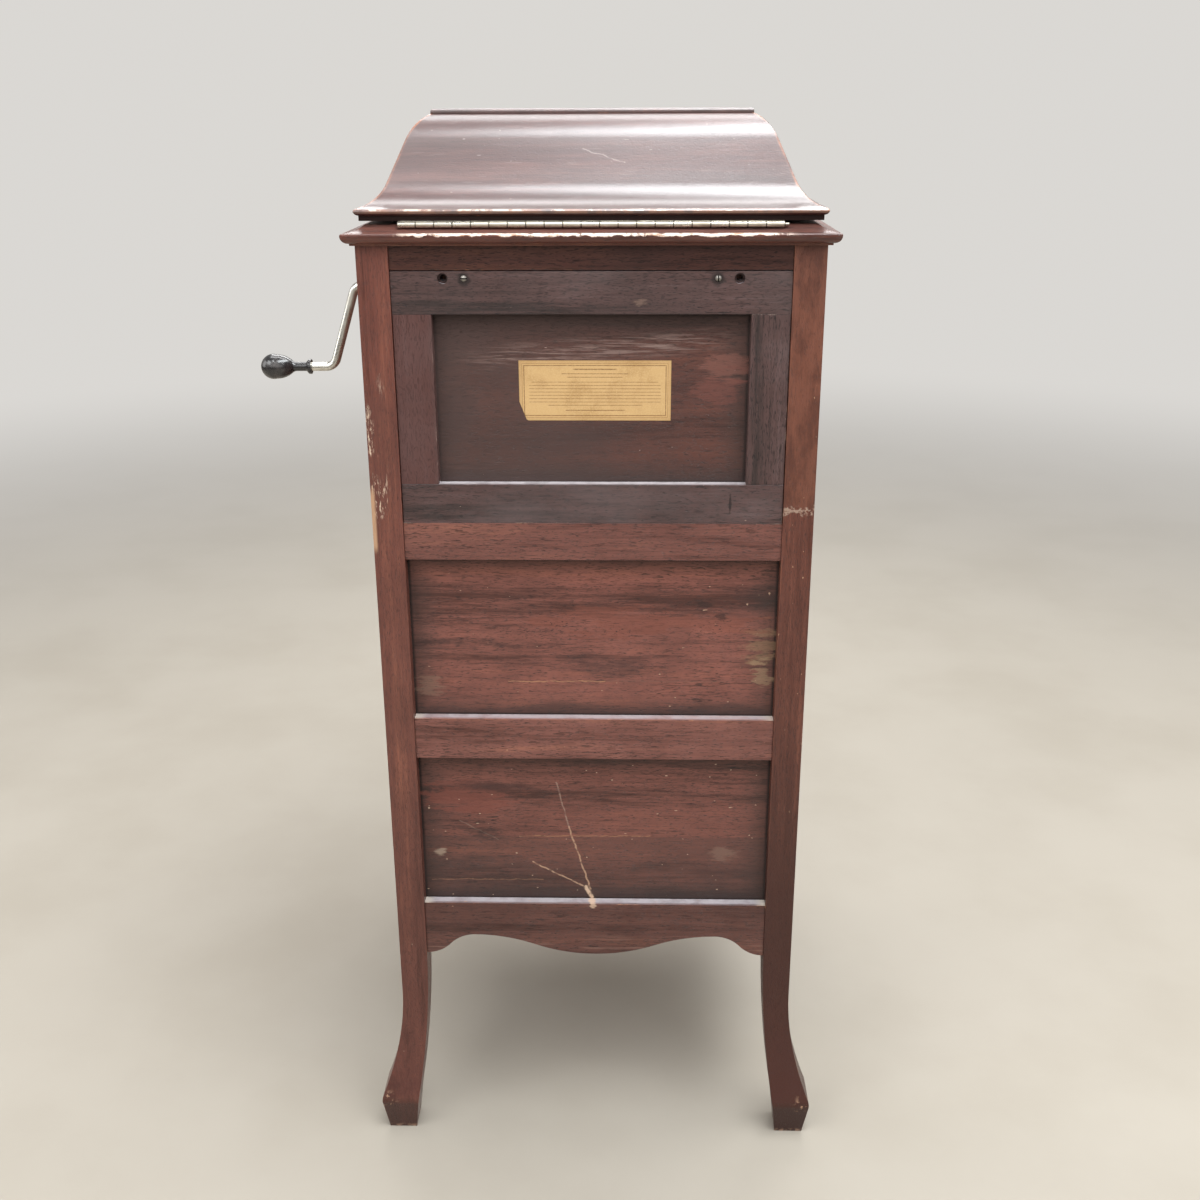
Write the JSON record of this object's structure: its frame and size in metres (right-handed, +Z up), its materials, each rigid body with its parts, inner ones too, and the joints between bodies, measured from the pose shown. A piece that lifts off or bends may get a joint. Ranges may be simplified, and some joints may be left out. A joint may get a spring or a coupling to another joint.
{
  "type": "upright gramophone cabinet",
  "caption": "Floor-standing wind-up gramophone cabinet in mahogany with a hinged domed lid, side crank, turntable, horn and record-storage doors on flared feet.",
  "frame": {"origin": "floor point under the middle of the case", "axes": "+X to the crank side, -Y to the front with the doors, +Z up"},
  "size_m": [0.6445, 0.575, 1.1715],
  "materials": {
    "mahogany": "polished shellac over red-brown mahogany",
    "aged_mahogany": "dulled, greyed mahogany",
    "panel_mahogany": "thin mahogany board, satin",
    "inner_wood": "satin mahogany inside the case",
    "nickel": "polished nickel plate",
    "dull_nickel": "dull, tarnished nickel plate",
    "black_iron": "black japanned casting",
    "steel": "cut steel",
    "brass": "lacquered brass",
    "dark_grip": "ebonised turned wood, glossy"
  },
  "bodies": {
    "case": {"access_bottom_rail": "aged_mahogany", "access_panel": "panel_mahogany", "access_screws": "dull_nickel", "access_stiles": "aged_mahogany", "access_top_rail": "aged_mahogany", "back_apron": "mahogany", "back_lower_panel": "panel_mahogany", "back_lower_rail": "mahogany", "back_middle_rail": "mahogany", "back_top_rail": "mahogany", "back_upper_panel": "panel_mahogany", "crank_escutcheon": "nickel", "door_pivots": "brass", "front_apron": "mahogany", "front_left_post": "mahogany", "front_middle_rail": "mahogany", "front_right_post": "mahogany", "front_top_rail": "mahogany", "horn": "inner_wood", "horn_elbow": "black_iron", "horn_louvres": "inner_wood", "left_side_panel": "mahogany", "lid_hinge_case_leaf": "dull_nickel", "lid_stay_screw": "nickel", "motor_board": "inner_wood", "motor_frame": "black_iron", "rear_left_post": "mahogany", "rear_right_post": "mahogany", "record_shelves": "inner_wood", "right_side_panel": "mahogany", "spring_barrel": "black_iron", "storage_floor": "inner_wood", "top_moulding_front_back": "mahogany", "top_moulding_sides": "mahogany"},
    "lid": {"lid_back_board": "mahogany", "lid_front_board": "mahogany", "lid_left_board": "mahogany", "lid_right_board": "mahogany", "lid_top_panel": "mahogany", "lid_hinge_lid_leaf": "dull_nickel"},
    "lid_stay": {"lid_stay": "nickel"},
    "crank": {"crank": "nickel", "winding_shaft": "steel"},
    "crank_grip": {"crank_grip": "dark_grip"},
    "winding_gear": {"winding_gear": "steel"},
    "turntable": {"turntable": "nickel", "turntable_spindle": "nickel"},
    "tone_arm": {"tone_arm": "nickel"},
    "sound_box": {"goose_neck": "nickel", "sound_box": "nickel"},
    "brake_lever": {"brake_lever": "nickel"},
    "speed_knob": {"speed_knob": "nickel"},
    "horn_door_left": {"horn_door_left": "mahogany", "horn_knob_left": "brass"},
    "horn_door_right": {"horn_door_right": "mahogany", "horn_knob_right": "brass"},
    "record_door_left": {"record_door_left": "mahogany", "record_knob_left": "brass"},
    "record_door_right": {"record_door_right": "mahogany", "record_knob_right": "brass"}
  },
  "joints": [
    {"name": "lid_hinge", "type": "hinge", "parent": "case", "child": "lid", "pos_m": [0, 0.2575, 1.0663], "axis": [-1, 0, 0], "range_deg": [0, 75]},
    {"name": "lid_stay_pivot", "type": "hinge", "parent": "lid", "child": "lid_stay", "pos_m": [-0.1965, 0.14777, 1.07397], "axis": [-1, 0, 0], "range_deg": [-37.5, 0]},
    {"name": "crank_turn", "type": "hinge", "parent": "case", "child": "crank", "pos_m": [0.16, 0.06, 0.985], "axis": [1, 0, 0], "continuous": true},
    {"name": "crank_grip_turn", "type": "hinge", "parent": "crank", "child": "crank_grip", "pos_m": [0.3285, 0.06, 0.8925], "axis": [1, 0, 0], "continuous": true},
    {"name": "winding_gear_turn", "type": "hinge", "parent": "case", "child": "winding_gear", "pos_m": [0.078, 0.06, 0.94], "axis": [1, 0, 0], "continuous": true},
    {"name": "turntable_turn", "type": "hinge", "parent": "case", "child": "turntable", "pos_m": [-0.008, -0.032, 1.036], "axis": [0, 0, -1], "continuous": true},
    {"name": "tone_arm_swing", "type": "hinge", "parent": "case", "child": "tone_arm", "pos_m": [0.07, 0.165, 1.061], "axis": [0, 0, -1], "range_deg": [0, 36]},
    {"name": "sound_box_lift", "type": "hinge", "parent": "tone_arm", "child": "sound_box", "pos_m": [0.12483, 0.00747, 1.096], "axis": [-0.9078, -0.4195, 0], "range_deg": [0, 30]},
    {"name": "brake_lever_turn", "type": "hinge", "parent": "case", "child": "brake_lever", "pos_m": [0.12785, -0.15009, 1.026], "axis": [0, 0, 1], "range_deg": [0, 20]},
    {"name": "speed_knob_turn", "type": "hinge", "parent": "case", "child": "speed_knob", "pos_m": [-0.15, -0.19, 1.026], "axis": [0, 0, 1], "range_deg": [-90, 90]},
    {"name": "horn_door_left_swing", "type": "hinge", "parent": "case", "child": "horn_door_left", "pos_m": [-0.1882, -0.249, 0.859], "axis": [0, 0, -1], "range_deg": [0, 90]},
    {"name": "horn_door_right_swing", "type": "hinge", "parent": "case", "child": "horn_door_right", "pos_m": [0.1882, -0.249, 0.859], "axis": [0, 0, 1], "range_deg": [0, 90]},
    {"name": "record_door_left_swing", "type": "hinge", "parent": "case", "child": "record_door_left", "pos_m": [-0.1882, -0.249, 0.514], "axis": [0, 0, -1], "range_deg": [0, 90]},
    {"name": "record_door_right_swing", "type": "hinge", "parent": "case", "child": "record_door_right", "pos_m": [0.1882, -0.249, 0.514], "axis": [0, 0, 1], "range_deg": [0, 90]}
  ],
  "couplings": [
    {"joint": "lid_stay_pivot", "follows": "lid_hinge", "ratio": -0.5},
    {"joint": "winding_gear_turn", "follows": "crank_turn", "ratio": -0.25}
  ]
}
